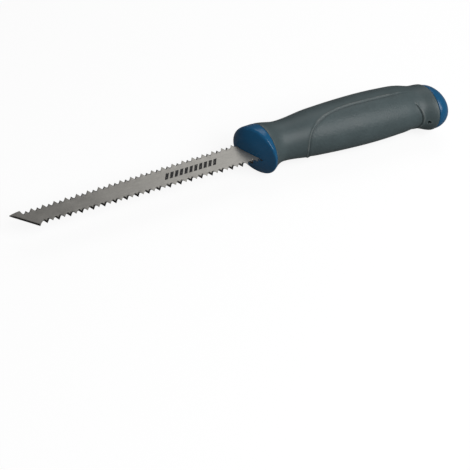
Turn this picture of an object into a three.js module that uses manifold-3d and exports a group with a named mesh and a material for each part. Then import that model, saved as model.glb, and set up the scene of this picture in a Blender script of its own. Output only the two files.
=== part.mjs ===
// Drywall saw (jab saw) with a double-edged steel blade in a two-colour moulded handle.
// Millimetres. +X runs from the blade's point to the butt, +Z is up, and the saw lies on its side,
// with the blade's flat faces level. The far cutting edge is on +Y and the near one on -Y.
import * as THREE from "three";
import { mergeVertices } from "three/addons/utils/BufferGeometryUtils.js";
import Module from "manifold-3d";

const wasm = await Module();
wasm.setup();

// ---- Driving dimensions ----

const gap = 0.3; // between pieces that touch

// Blade
const exposedLength = 155.6; // blade's point to the point of the guard's cone, before that is pressed back
const bladeThickness = 1.0;
const pitch = 25.4 / 7; // seven teeth to the inch
const toothHeight = 2.7;
const gulletRadius = 0.3;
const frontHalfWidth = 4.45; // middle to gullet line, at the point
const edgeTaper = 0.0235; // growth of that half width per mm of length
const pointOffset = 6.6; // the sharp point stands this far off the middle
const pointAngle = THREE.MathUtils.degToRad(43.6); // ground front edge, from the blade's length
const cornerReach = 0.75; // the near end of that edge stands this far beyond the line of tooth tips
const spineLength = 6.2; // smooth stretch behind the point on the far edge
const spineRise = 0.95; // how far its end stands above the line of tooth tips
const firstFarTooth = 10;
const firstNearTooth = 20.2;
const tangLength = 46; // from the guard face inwards
const shoulderDepth = 12; // the blade keeps its full width this far into the guard
const tangHalfWidth = 6;
const tangHoleRadius = 2.6;
const tangHoleSpacing = 17;

// Handle: lengths run one after the other from the guard face to the butt
const guardDepth = 15.4; // point of the guard's cone to the sleeve's front edge
const guardRimWidth = 6.4; // straight part of the rim in front of the sleeve
const neckRun = 12.2;
const palmFrontRun = 25.8;
const bellyRun = 37;
const palmRearRun = 30;
const waistRun = 13.5;
const buttRun = 9.5; // waist to the sleeve's rear edge
const capDepth = 13;

// Handle: half heights at those places
const guardHalfHeight = 17.8;
const ringHalfHeight = 17.25;
const neckHalfHeight = 14.1;
const palmFrontHalfHeight = 16.6;
const bellyHalfHeight = 17.6;
const palmRearHalfHeight = 16.4;
const waistHalfHeight = 14.7;
const buttHalfHeight = 15.8;

// Handle: shape of the guard and line of the grip
const guardFaceSquareness = 1.25; // 1 is a cone, 2 is a dome
const guardNose = 3; // the cone's point is pressed back this far into a flat middle
const guardSlant = 0.61; // the far side of the guard leads the near side by this much per mm
const slantFade = 1.43; // more is a lead that fades sooner behind the guard's face
const guardOffset = -0.28; // sideways offset of the guard's middle
const guardWidthRatio = 1.01; // width over height of the oval section
const buttWidthRatio = 1.18;
const droop = 0.038; // slope of the grip towards the near side
const droopPivotRun = 46.8; // the sloping line crosses the blade's middle this far behind the neck
const buttHook = 5.3; // further offset of the butt towards the near side
const hookLead = 7.5; // the hook starts this far ahead of the waist
const hookLength = 20;
const domeLean = 3; // extra offset of the cap's very end

// Shells
const sleeveThickness = 2.8;
const sleeveEdgeRadius = 1.2;
const boreWall = 10; // solid plastic between the tang and the bore
const boreFrontRadius = 7.4;
const boreRearRadius = 8.4;
const plugLength = 14;
const pinHoleRadius = 1.2;
const pinHoleRun = 3; // waist to the hole
const pinHoleDepth = 5;

// Mesh fineness
const roundSegments = 40;
const lengthStep = 3.5;

// ---- Derived places along X ----

const faceX = exposedLength;
const ringX = faceX + guardDepth;
const rimX = ringX - guardRimWidth;
const neckX = ringX + neckRun;
const palmFrontX = neckX + palmFrontRun;
const bellyX = palmFrontX + bellyRun;
const palmRearX = bellyX + palmRearRun;
const waistX = palmRearX + waistRun;
const capX = waistX + buttRun;
const endX = capX + capDepth;
const tangEndX = faceX + tangLength;
const shoulderX = faceX + shoulderDepth;
const coreEndX = capX - sleeveEdgeRadius;
const boreStartX = tangEndX + boreWall;

// ---- Formulas ----

function smooth(from, to, x) {
  return THREE.MathUtils.smoothstep(x, from, to);
}

function gulletLine(x) {
  return frontHalfWidth + edgeTaper * x;
}

function tipLine(x) {
  return gulletLine(x) + toothHeight;
}

// Width over height of the handle's oval section.
function widthRatio(x) {
  return THREE.MathUtils.lerp(guardWidthRatio, buttWidthRatio, smooth(ringX, capX, x));
}

// Sideways place of the section's middle.
function middle(x) {
  const hook = buttHook * smooth(waistX - hookLead, waistX - hookLead + hookLength, x);
  const lean = domeLean * Math.max(0, (x - capX) / (endX - capX)) ** 2;
  const line = droop * (neckX + droopPivotRun - x);
  return THREE.MathUtils.lerp(guardOffset, line, smooth(faceX + guardDepth / 2, neckX, x)) - hook - lean;
}

// Forward lead of the far side per mm of sideways distance, fading out at the neck.
function slant(x) {
  return guardSlant * (1 - smooth(faceX, neckX, x)) ** slantFade;
}

// Smooth curve through stations of [place, size], with the slope of each taken from its neighbours.
function through(stations, x) {
  const last = stations.length - 2;
  let i = 0;
  while (i < last && x > stations[i + 1][0]) i += 1;
  const [x0, y0] = stations[i];
  const [x1, y1] = stations[i + 1];
  const before = stations[Math.max(i - 1, 0)];
  const after = stations[Math.min(i + 2, stations.length - 1)];
  const span = x1 - x0;
  const t = THREE.MathUtils.clamp((x - x0) / span, 0, 1);
  const m0 = ((y1 - before[1]) / (x1 - before[0])) * span;
  const m1 = ((after[1] - y0) / (after[0] - x0)) * span;
  const start = (2 * t ** 3 - 3 * t ** 2 + 1) * y0 + (t ** 3 - 2 * t ** 2 + t) * m0;
  return start + (3 * t ** 2 - 2 * t ** 3) * y1 + (t ** 3 - t ** 2) * m1;
}

// Outer half height of the handle, from the guard's rim to the butt.
const gripStations = [
  [rimX, guardHalfHeight],
  [ringX, ringHalfHeight],
  [neckX, neckHalfHeight],
  [palmFrontX, palmFrontHalfHeight],
  [bellyX, bellyHalfHeight],
  [palmRearX, palmRearHalfHeight],
  [waistX, waistHalfHeight],
  [coreEndX, buttHalfHeight],
  [endX, waistHalfHeight],
];

function gripHalfHeight(x) {
  return through(gripStations, x);
}

// Half height of the bore that lightens the core; it widens towards the butt.
function boreHalfHeight(x) {
  return THREE.MathUtils.mapLinear(x, boreStartX, coreEndX, boreFrontRadius, boreRearRadius);
}

// ---- Geometry helpers ----

// Closed solid for joining and cutting.
function toSolid(geometry) {
  const bare = geometry.clone();
  bare.deleteAttribute("normal");
  bare.deleteAttribute("uv");
  const merged = mergeVertices(bare);
  return new wasm.Manifold(
    new wasm.Mesh({
      numProp: 3,
      vertProperties: merged.attributes.position.array,
      triVerts: new Uint32Array(merged.index.array),
    }),
  );
}

function toGeometry(solid) {
  const mesh = solid.getMesh();
  const geometry = new THREE.BufferGeometry();
  geometry.setAttribute("position", new THREE.BufferAttribute(mesh.vertProperties, 3));
  geometry.setIndex(new THREE.BufferAttribute(mesh.triVerts, 1));
  geometry.computeVertexNormals();
  return geometry;
}

// Turns a profile of [place along the handle, half height] into the handle's oval, slanted shape.
function handleShape(profile) {
  const points = profile.map(([x, halfHeight]) => new THREE.Vector2(halfHeight, x));
  const geometry = new THREE.LatheGeometry(points, roundSegments);
  const position = geometry.attributes.position;
  for (let i = 0; i < position.count; i += 1) {
    const x = position.getY(i);
    const y = position.getX(i) * widthRatio(x) + middle(x);
    position.setXYZ(i, x - slant(x) * y, y, -position.getZ(i));
  }
  return geometry;
}

// Stations from one place to another, about one lengthStep apart, with both ends included.
function stationsBetween(from, to) {
  const count = Math.max(1, Math.round(Math.abs(to - from) / lengthStep));
  return Array.from({ length: count + 1 }, (_, i) => THREE.MathUtils.lerp(from, to, i / count));
}

// Flat outline in the blade's plane, given a thickness centred on that plane.
function plate(shape, thickness) {
  const geometry = new THREE.ExtrudeGeometry(shape, { depth: thickness, bevelEnabled: false, curveSegments: 6 });
  return geometry.translate(0, 0, -thickness / 2);
}

// ---- Blade ----

// Place of the guard's face where the cone lies this deep behind its own point.
function pressedFace(depth) {
  return faceX + Math.cbrt(depth ** 3 + guardNose ** 3);
}

// Place along the handle where the guard's face has the given half height, before it is slanted.
function guardFaceAt(halfHeight) {
  const rise = (halfHeight / guardHalfHeight) ** guardFaceSquareness;
  return pressedFace((rimX - faceX) * (1 - (1 - rise) ** (1 / guardFaceSquareness)));
}

// Tips of the teeth on one edge, from the first one to the guard face on that side.
function toothPlaces(first, side) {
  const places = [];
  const faceAt = (x) => guardFaceAt(gulletLine(x)) - guardSlant * side * gulletLine(x);
  for (let x = first; x + pitch / 2 < faceAt(x); x += pitch) places.push(x);
  return places;
}

// One edge's outline from the first tooth's gullet to the last: straight flanks and rounded gullets.
function toothedEdge(places, side) {
  const points = [];
  places.forEach((x) => {
    points.push([x, side * tipLine(x)]);
    const gullet = x + pitch / 2;
    [-1, 0, 1].forEach((part) => {
      const rise = part === 0 ? 0 : gulletRadius * (1 - Math.SQRT1_2);
      points.push([gullet + part * gulletRadius * Math.SQRT1_2, side * (gulletLine(gullet) + rise)]);
    });
  });
  return points;
}

const nearCornerX = (pointOffset + tipLine(0) + cornerReach) / (Math.tan(pointAngle) - edgeTaper);
const farPlaces = toothPlaces(firstFarTooth, 1);
const nearPlaces = toothPlaces(firstNearTooth, -1);

function tangOutline(halfWidth, endX, holeRadius) {
  const corner = halfWidth / 2;
  const outline = [
    [shoulderX, halfWidth],
    [endX - corner, halfWidth],
    [endX, halfWidth - corner],
    [endX, corner - halfWidth],
    [endX - corner, -halfWidth],
    [shoulderX, -halfWidth],
  ];
  const holes = [-1, 1].map((side) => {
    const middleX = (shoulderX + tangEndX + (side * tangHoleSpacing)) / 2;
    return new THREE.Path().absarc(middleX, 0, holeRadius, 0, 2 * Math.PI);
  });
  return { outline, holes };
}

function bladeShape() {
  const { outline, holes } = tangOutline(tangHalfWidth, tangEndX, tangHoleRadius);
  const firstGullet = firstFarTooth - pitch / 2;
  const nearGullet = firstNearTooth - pitch / 2;
  const points = [
    [0, pointOffset],
    [spineLength, tipLine(spineLength) + spineRise],
    [firstGullet, gulletLine(firstGullet)],
    ...toothedEdge(farPlaces, 1),
    [shoulderX, gulletLine(shoulderX)],
    ...outline,
    [shoulderX, -gulletLine(shoulderX)],
    ...toothedEdge(nearPlaces, -1).reverse(),
    [nearGullet, -gulletLine(nearGullet)],
    [nearCornerX, -tipLine(nearCornerX) - cornerReach],
  ].map(([x, y]) => new THREE.Vector2(x, y));
  const shape = new THREE.Shape(points.reverse());
  shape.holes = holes;
  return shape;
}

// ---- Handle ----

// Hollow in the core that the blade's root and tang fill, crossed by a post in each tang hole.
function tangPocket() {
  const { outline, holes } = tangOutline(tangHalfWidth + gap, tangEndX + gap, tangHoleRadius - gap);
  const mouthX = faceX - guardDepth;
  const points = [
    [mouthX, gulletLine(mouthX) + gap],
    [shoulderX + gap, gulletLine(shoulderX) + gap],
    [shoulderX + gap, tangHalfWidth + gap],
    ...outline.slice(1, -1),
    [shoulderX + gap, -tangHalfWidth - gap],
    [shoulderX + gap, -gulletLine(shoulderX) - gap],
    [mouthX, -gulletLine(mouthX) - gap],
  ].map(([x, y]) => new THREE.Vector2(x, y));
  const shape = new THREE.Shape(points.reverse());
  shape.holes = holes;
  return plate(shape, bladeThickness + 2 * gap);
}

// Small round hole in the near side of the butt, left by the pin that held the core in its mould.
function pinHole() {
  const x = waistX + pinHoleRun;
  const mouthY = middle(x) - gripHalfHeight(x) * widthRatio(x);
  const reach = 2 * pinHoleDepth;
  const hole = new THREE.CylinderGeometry(pinHoleRadius, pinHoleRadius, reach, 20);
  return hole.translate(x, mouthY + pinHoleDepth - reach / 2, 0);
}

// Front face of the guard: a blunt cone that ends at the rim.
function guardFace() {
  return [0, 10, 20, 32, 44, 56, 68, 80, 90].map((degrees) => {
    const angle = THREE.MathUtils.degToRad(degrees);
    const fullness = 2 / guardFaceSquareness;
    return [
      pressedFace((rimX - faceX) * (1 - Math.cos(angle) ** fullness)),
      guardHalfHeight * Math.sin(angle) ** fullness,
    ];
  });
}

// The core's skin and the sleeve's inside share these places, so their facets stay parallel.
const skinStations = stationsBetween(ringX, coreEndX);

function handleCore() {
  const coreAt = (x) => gripHalfHeight(x) - sleeveThickness - gap;
  const profile = [
    ...guardFace(),
    [ringX, gripHalfHeight(ringX)],
    ...skinStations.map((x) => [x, coreAt(x)]),
    ...stationsBetween(coreEndX, boreStartX).map((x) => [x, boreHalfHeight(x)]),
    [boreStartX, 0],
  ];
  return toGeometry(toSolid(handleShape(profile)).subtract(toSolid(tangPocket())).subtract(toSolid(pinHole())));
}

function gripSleeve() {
  const frontX = ringX + gap;
  const outer = stationsBetween(frontX, coreEndX).map((x) => [x, gripHalfHeight(x)]);
  const innerPlaces = [capX, ...skinStations.slice(1).reverse(), frontX];
  const inner = innerPlaces.map((x) => [x, gripHalfHeight(x) - sleeveThickness]);
  const edge = [30, 60, 90].map((degrees) => {
    const angle = THREE.MathUtils.degToRad(degrees);
    const rise = sleeveEdgeRadius * (1 - Math.cos(angle));
    return [capX - sleeveEdgeRadius * (1 - Math.sin(angle)), gripHalfHeight(capX) - rise];
  });
  const profile = [...outer, ...edge, ...inner];
  profile.push(profile[0]);
  return toGeometry(toSolid(handleShape(profile)).subtract(toSolid(pinHole())));
}

function buttCap() {
  const flangeX = capX + gap;
  const domeRadius = gripHalfHeight(capX) - sleeveEdgeRadius / 2;
  const plugX = coreEndX - plugLength;
  const dome = [0, 15, 30, 45, 60, 75, 90].map((degrees) => {
    const angle = THREE.MathUtils.degToRad(degrees);
    return [flangeX + (endX - flangeX) * Math.sin(angle), domeRadius * Math.cos(angle)];
  });
  dome[dome.length - 1][1] = 0;
  return handleShape([
    [plugX, 0],
    ...stationsBetween(plugX, flangeX).map((x) => [x, boreHalfHeight(x) - gap]),
    ...dome,
  ]);
}

// ---- Assembly ----

const steel = new THREE.MeshStandardMaterial({ color: 0x9a9890, roughness: 0.35, metalness: 1 });
const bluePlastic = new THREE.MeshStandardMaterial({ color: 0x17608c, roughness: 0.3 });
const greyRubber = new THREE.MeshStandardMaterial({ color: 0x54605f, roughness: 0.65 });

const saw = new THREE.Group();

function addPiece(name, geometry, material) {
  const piece = new THREE.Mesh(geometry, material);
  piece.name = name;
  saw.add(piece);
}

addPiece("blade", plate(bladeShape(), bladeThickness), steel);
addPiece("handle_core", handleCore(), bluePlastic);
addPiece("grip_sleeve", gripSleeve(), greyRubber);
addPiece("butt_cap", buttCap(), bluePlastic.clone());

// The origin is the middle of the saw's underside.
const box = new THREE.Box3().setFromObject(saw);
const centre = box.getCenter(new THREE.Vector3());
saw.children.forEach((piece) => piece.geometry.translate(-centre.x, -centre.y, -box.min.z));

export default saw;
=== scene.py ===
"""Looks of a double-edged plasterboard saw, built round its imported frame.

Lengths are in metres. Each surface is worked out from the blade's point: x runs along the blade to the butt,
y across it to the far edge, and z up from the middle of its thickness. in_frame() then moves it to its place.
"""
import math

import bmesh
import bpy
import numpy as np
from mathutils import Matrix, Vector


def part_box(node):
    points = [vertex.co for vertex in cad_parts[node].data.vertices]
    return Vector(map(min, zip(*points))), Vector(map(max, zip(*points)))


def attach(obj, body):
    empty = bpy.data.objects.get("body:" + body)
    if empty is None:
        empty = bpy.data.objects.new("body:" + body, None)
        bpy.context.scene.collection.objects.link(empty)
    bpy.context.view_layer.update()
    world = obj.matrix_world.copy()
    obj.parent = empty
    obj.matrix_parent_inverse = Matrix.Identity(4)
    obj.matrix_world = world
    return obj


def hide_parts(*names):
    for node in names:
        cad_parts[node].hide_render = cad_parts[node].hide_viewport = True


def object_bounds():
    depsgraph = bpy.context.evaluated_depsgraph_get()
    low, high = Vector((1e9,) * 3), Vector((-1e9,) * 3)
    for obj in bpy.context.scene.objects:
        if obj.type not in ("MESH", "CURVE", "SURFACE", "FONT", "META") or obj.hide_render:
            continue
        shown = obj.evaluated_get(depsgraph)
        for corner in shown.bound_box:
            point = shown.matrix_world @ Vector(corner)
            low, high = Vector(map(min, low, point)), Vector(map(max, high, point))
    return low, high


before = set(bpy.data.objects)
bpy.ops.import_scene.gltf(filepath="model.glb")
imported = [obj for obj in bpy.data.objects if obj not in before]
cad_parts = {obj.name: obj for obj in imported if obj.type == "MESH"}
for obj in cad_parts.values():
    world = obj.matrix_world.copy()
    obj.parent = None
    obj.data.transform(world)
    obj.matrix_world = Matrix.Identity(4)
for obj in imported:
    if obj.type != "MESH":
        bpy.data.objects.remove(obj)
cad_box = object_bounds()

bl_info = {
    "name": "Drywall Saw",
    "version": (1, 0, 0),
    "blender": (4, 5, 0),
    "location": "3D View > Sidebar > Drywall Saw",
    "description": "Builds a double-edged drywall saw and a plain studio round it",
    "category": "Add Mesh",
}

MM = 0.001

# Float attributes that the materials read
# Where relief is below 0 the rubber is painted darker as shade.
RELIEF = "relief"  # 1 on a ridge or a sharp edge, -1 in a groove
PANEL = "panel"  # 1 on the stippled palm panel
# The ground mask also marks where the steel paints its facets near black as shade.
GROUND = "ground"  # 1 on a ground cutting facet


# ---- Settings ----


def length(millimetres, description):
    """A length setting, stated in millimetres and kept in metres."""
    return bpy.props.FloatProperty(
        description=description, default=millimetres * MM, unit="LENGTH", precision=5
    )


def angle(degrees, description):
    """An angle setting, stated in degrees and kept in radians."""
    return bpy.props.FloatProperty(
        description=description, default=math.radians(degrees), unit="ROTATION", precision=3
    )


def ratio(value, description):
    """A setting without a unit."""
    return bpy.props.FloatProperty(description=description, default=value, precision=4)


def colour(value, description):
    """A linear colour setting."""
    return bpy.props.FloatVectorProperty(
        description=description, default=value, subtype="COLOR", size=3, min=0, max=1
    )


def labelled(settings):
    """Gives each setting of a class a label made from its own name."""
    for key, setting in settings.__annotations__.items():
        setting.keywords["name"] = key.replace("_", " ").capitalize()
    return settings


@labelled
class BladeSettings(bpy.types.PropertyGroup):
    """Sizes of the steel blade."""

    exposed: length(155.6, "From the blade's point to the point of the guard's cone")
    pitch: length(25.4 / 7, "From one tooth tip to the next; seven to the inch")
    tooth_height: length(2.7, "From the gullets to the tips")
    gullet_radius: length(0.25, "Rounding between two teeth")
    front_half_width: length(4.45, "From the middle to the gullets, at the point")
    taper: ratio(0.0235, "Growth of that half width along the blade")
    point_offset: length(6.6, "How far the sharp point stands off the middle")
    point_angle: angle(43.6, "Lean of the ground front edge from the blade's length")
    corner_reach: length(0.75, "How far the front edge's near end passes the tooth tips")
    spine_length: length(6.2, "Smooth stretch behind the point on the far edge")
    spine_rise: length(0.95, "How far its end stands above the tooth tips")
    spine_bulge: length(0.3, "Crown of that stretch over a straight line")
    first_far_tooth: length(10, "Place of the first tip on the far edge")
    first_near_tooth: length(20.2, "Place of the first tip on the near edge")
    tooth_set: length(0.1, "How far each tooth is bent out of the blade's plane, by turns")
    bend_margin: length(1, "How far below the gullets a tooth starts to bend")
    chamfer: length(0.12, "Worn corner along an edge that isn't ground")
    facet_width: length(0.95, "Width of the facets ground on the teeth and the front edge")
    edge_land: length(0.12, "Thickness left at a ground edge")
    shoulder_depth: length(12, "The blade keeps its full width this far behind the cone's point")
    tang_length: length(46, "From the cone's point to the tang's end")
    tang_half_width: length(6, "From the middle to the tang's sides")
    tang_hole_radius: length(2.6, "Radius of the two key holes")
    tang_hole_spacing: length(17, "From one key hole to the other")


@labelled
class HandleSettings(bpy.types.PropertyGroup):
    """Sizes of the handle: lengths follow one another from the guard's cone to the butt."""

    guard_depth: length(15.4, "Point of the guard's cone to the sleeve's front edge")
    guard_rim: length(6.4, "Straight part of the rim in front of the sleeve")
    neck_run: length(12.2, "Sleeve's front edge to the neck")
    palm_front_run: length(25.8, "Neck to the front of the palm swell")
    belly_run: length(37, "Front of the palm swell to the belly")
    palm_rear_run: length(30, "Belly to the back of the palm swell")
    waist_run: length(13.5, "Back of the palm swell to the waist")
    butt_run: length(9.5, "Waist to the sleeve's rear edge")
    cap_depth: length(13, "Sleeve's rear edge to the end")
    guard_half: length(17.8, "At the guard's rim")
    ring_half: length(17.25, "At the sleeve's front edge")
    neck_half: length(14.1, "At the neck")
    palm_front_half: length(16.6, "At the front of the palm swell")
    belly_half: length(17.6, "At the belly")
    palm_rear_half: length(16.4, "At the back of the palm swell")
    waist_half: length(14.7, "At the waist")
    butt_half: length(15.8, "At the sleeve's rear edge")
    face_squareness: ratio(1.25, "1 is a cone; 2 is a dome")
    guard_nose: length(3, "How far the cone's point is pressed back into a flat middle")
    rim_edge: length(1.6, "How far the rounding between the guard's face and its rim reaches")
    guard_slant: ratio(0.61, "Forward lead of the guard's far side, per unit sideways")
    slant_fade: ratio(1.43, "More is a lead that fades sooner behind the guard's face")
    guard_offset: length(-0.28, "Sideways place of the guard's middle")
    guard_ratio: ratio(1.01, "Width over height of the section at the guard")
    butt_ratio: ratio(1.18, "Width over height of the section at the butt")
    droop: ratio(0.038, "Slope of the grip towards the near side")
    droop_pivot: length(46.8, "The sloping line meets the blade's middle this far behind the neck")
    hook: length(5.3, "Further offset of the butt towards the near side")
    hook_lead: length(7.5, "The hook starts this far ahead of the waist")
    hook_length: length(20, "Length over which the hook grows")
    dome_lean: length(3, "Extra offset of the butt's very end")
    sleeve_thickness: length(2.8, "Wall of the rubber sleeve")
    sleeve_edge: length(1.2, "Rounding of the sleeve's rear edge")
    seam: length(0.06, "Clearance between pieces that touch")
    bore_wall: length(10, "Solid plastic between the tang and the bore")
    bore_front: length(7.4, "Radius of the bore at its front end")
    bore_rear: length(8.4, "Radius of the bore at the butt")
    plug_length: length(14, "How far the cap's plug reaches into the bore")
    pin_hole_radius: length(1.2, "Small hole in the near side of the butt")
    pin_hole_run: length(3, "Waist to that hole")
    pin_hole_depth: length(5, "Depth of that hole")
    panel_front: length(14.3, "Neck to the front of the palm panel")
    panel_nose: length(42.5, "Length over which the panel grows to its full width")
    panel_reach: angle(92, "How far the panel wraps to each side of the near side")
    panel_recess: length(0.4, "How far the stippled panel lies below its border")
    panel_fade: length(30, "The panel fades out from this far behind its full width")
    recess_start: length(1, "The recess starts this far inside the panel's border")
    recess_end: length(2.6, "The recess is complete this far inside the border")
    bead: length(0.4, "Height of the bead along the panel's border")
    bead_inset: length(0.7, "The bead's crest lies this far inside the border")
    bead_width: length(0.55, "Half width of the bead")
    bead_fade: length(24, "The bead fades out from this far behind the panel's full width")
    moat_inset: length(2, "The groove along the bead lies this far inside the border")
    moat_width: length(0.6, "Half width of that groove")
    crease_depth: length(0.45, "Depth of the crease behind the palm")
    crease_lead: length(1.5, "The crease crosses the near side this far ahead of the waist")
    crease_bow: length(4.1, "Further lead of the crease where its bow angle is reached")
    crease_angle: angle(52, "Angle off the near side where that lead is reached")
    crease_width: length(0.42, "Half width of the crease")
    lip_inset: length(1.1, "The lip's crest lies this far behind the crease")
    lip_width: length(0.7, "Half width of the lip")
    hole_rim: length(0.12, "Height of the rim round the small hole")


@labelled
class FinishSettings(bpy.types.PropertyGroup):
    """Colours of the finishes, as linear values."""

    steel: colour((0.50, 0.485, 0.45), "Ground blade steel")
    ink: colour((0.012, 0.012, 0.013), "Printed bars on the blade")
    plastic: colour((0.006, 0.115, 0.270), "Guard, core and butt cap")
    rubber: colour((0.088, 0.122, 0.128), "Grip sleeve")
    dust: colour((0.42, 0.42, 0.40), "Plaster dust and scuffs")


@labelled
class StageSettings(bpy.types.PropertyGroup):
    """View and studio light."""

    azimuth: angle(-25.889, "0 looks along +Y")
    elevation: angle(51.629, "Height of the view above level")
    roll: angle(2.091, "Turn of the picture about the line of sight")
    lens: ratio(48.49, "Focal length in millimetres on a 36 mm sensor")
    distance: length(427.64, "From the camera to the point looked at")
    aim_right: length(-6.98, "Point looked at, to the right of the saw's middle")
    aim_up: length(-52.62, "Point looked at, above the saw's middle in the picture")
    floor: colour((0.87, 0.87, 0.87), "Plain pale floor")


class SawSettings(bpy.types.PropertyGroup):
    """All the settings of the saw and its studio."""

    blade: bpy.props.PointerProperty(type=BladeSettings)
    handle: bpy.props.PointerProperty(type=HandleSettings)
    finish: bpy.props.PointerProperty(type=FinishSettings)
    stage: bpy.props.PointerProperty(type=StageSettings)


# ---- Place in the frame ----


def blade_origin():
    """The blade's point, halfway across the tang's square end and halfway through the blade's thickness."""
    low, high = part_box("blade")
    end_band = 0.01 * MM
    corners = [v.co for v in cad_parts["blade"].data.vertices if v.co.x > high.x - end_band]
    middle = (min(c.y for c in corners) + max(c.y for c in corners)) / 2
    return np.array([low.x, middle, (low.z + high.z) / 2])


ORIGIN = blade_origin()
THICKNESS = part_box("blade")[1].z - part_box("blade")[0].z


def in_frame(points):
    """Points measured from the blade's point, moved to their place in the frame."""
    return points + ORIGIN


# ---- Formulas ----


def smooth(start, end, x):
    """0 before start, 1 after end, and 3t^2 - 2t^3 between them."""
    t = np.clip((x - start) / (end - start), 0, 1)
    return t * t * (3 - 2 * t)


def bump(x, width):
    """Bell curve of height 1 at 0: e to the power of minus the square of x over width."""
    return np.exp(-((x / width) ** 2))


def mix(a, b, t):
    """a at t = 0, b at t = 1, and a straight line between them."""
    return a + (b - a) * t


def through(stations, x):
    """Cubic curve through [place, size] stations, each slope taken from the two stations beside it."""
    places = np.array([s[0] for s in stations])
    sizes = np.array([s[1] for s in stations])
    last = len(stations) - 1
    i = np.clip(np.searchsorted(places, x, side="left") - 1, 0, last - 1)
    before, after = np.maximum(i - 1, 0), np.minimum(i + 2, last)
    span = places[i + 1] - places[i]
    t = np.clip((x - places[i]) / span, 0, 1)
    m0 = (sizes[i + 1] - sizes[before]) / (places[i + 1] - places[before]) * span
    m1 = (sizes[after] - sizes[i]) / (places[after] - places[i]) * span
    start = (2 * t**3 - 3 * t**2 + 1) * sizes[i] + (t**3 - 2 * t**2 + t) * m0
    return start + (3 * t**2 - 2 * t**3) * sizes[i + 1] + (t**3 - t**2) * m1


def joined(*stretches):
    """One line of places from stretches of (start, end, count), each end left to the next stretch's start."""
    parts = [np.linspace(start, end, count, endpoint=False) for start, end, count in stretches]
    return np.concatenate(parts + [[stretches[-1][1]]])


# ---- Mesh helpers ----


def grid_faces(rows, columns, wrap_rows=False):
    """Four-cornered faces of a grid whose last column joins its first, and whose last row may do so too."""
    row = np.arange(rows if wrap_rows else rows - 1)[:, None]
    column = np.arange(columns)[None, :]
    next_row, next_column = (row + 1) % rows, (column + 1) % columns
    corners = [
        row * columns + column,
        next_row * columns + column,
        next_row * columns + next_column,
        row * columns + next_column,
    ]
    return np.stack([np.broadcast_to(c, corners[0].shape) for c in corners], -1).reshape(-1, 4).tolist()


def new_piece(name, points, faces, attributes=None):
    """Closed mesh object from points and faces, with doubled points merged and its faces turned outwards."""
    same, thin = 0.0005 * MM, 0.0001 * MM
    mesh = bpy.data.meshes.new(name)
    mesh.from_pydata(in_frame(points.reshape(-1, 3)), [], faces)
    for key, values in (attributes or {}).items():
        layer = mesh.attributes.new(key, "FLOAT", "POINT")
        layer.data.foreach_set("value", np.ascontiguousarray(values, np.float32).ravel())
    shell = bmesh.new()
    shell.from_mesh(mesh)
    bmesh.ops.remove_doubles(shell, verts=shell.verts, dist=same)
    bmesh.ops.dissolve_degenerate(shell, edges=shell.edges, dist=thin)
    if shell.calc_volume(signed=True) < 0:
        bmesh.ops.reverse_faces(shell, faces=shell.faces)
    shell.to_mesh(mesh)
    shell.free()
    piece = bpy.data.objects.new(name, mesh)
    bpy.context.scene.collection.objects.link(piece)
    return piece


def rod(name, start, end, radius, sides=48):
    """Closed round rod between two points: circles of the radius at both ends, with a flat lid on each."""
    start, end = Vector(start), Vector(end)
    turn = (end - start).to_track_quat("Z", "X").to_matrix()
    a = np.linspace(0, 2 * math.pi, sides, endpoint=False)
    ring = np.stack([radius * np.cos(a), radius * np.sin(a), 0 * a], -1) @ np.array(turn).T
    tip, tail = np.array(start), np.array(end)
    points = np.stack([0 * ring + tip, ring + tip, ring + tail, 0 * ring + tail])
    return new_piece(name, points, grid_faces(4, sides))


def slab(name, outline, thickness):
    """Closed flat piece: the outline's points at half the thickness above and below the middle plane."""
    count = len(outline)
    levels = [np.column_stack([outline, np.full(count, level)]) for level in (-thickness / 2, thickness / 2)]
    walls = [[i, (i + 1) % count, (i + 1) % count + count, i + count] for i in range(count)]
    lids = [list(range(count))[::-1], list(range(count, 2 * count))]
    return new_piece(name, np.concatenate(levels), walls + lids)


def cut(piece, cutter):
    """Takes the cutter's solid out of the piece, and removes the cutter."""
    step = piece.modifiers.new("cut", "BOOLEAN")
    step.operation = "DIFFERENCE"
    step.solver = "EXACT"
    step.object = cutter
    depsgraph = bpy.context.evaluated_depsgraph_get()
    mesh = bpy.data.meshes.new_from_object(piece.evaluated_get(depsgraph))
    piece.modifiers.clear()
    piece.data = mesh
    bpy.data.objects.remove(cutter)


def finish_piece(piece, node, material, sharp):
    """Smooth shading but for edges sharper than an angle, then the material and the place in the frame."""
    mesh = piece.data
    mesh.polygons.foreach_set("use_smooth", np.ones(len(mesh.polygons), bool))
    mesh.set_sharp_from_angle(angle=math.radians(sharp))
    mesh.materials.clear()
    mesh.materials.append(material)
    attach(piece, "root")
    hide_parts(node)


# ---- Blade ----


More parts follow.
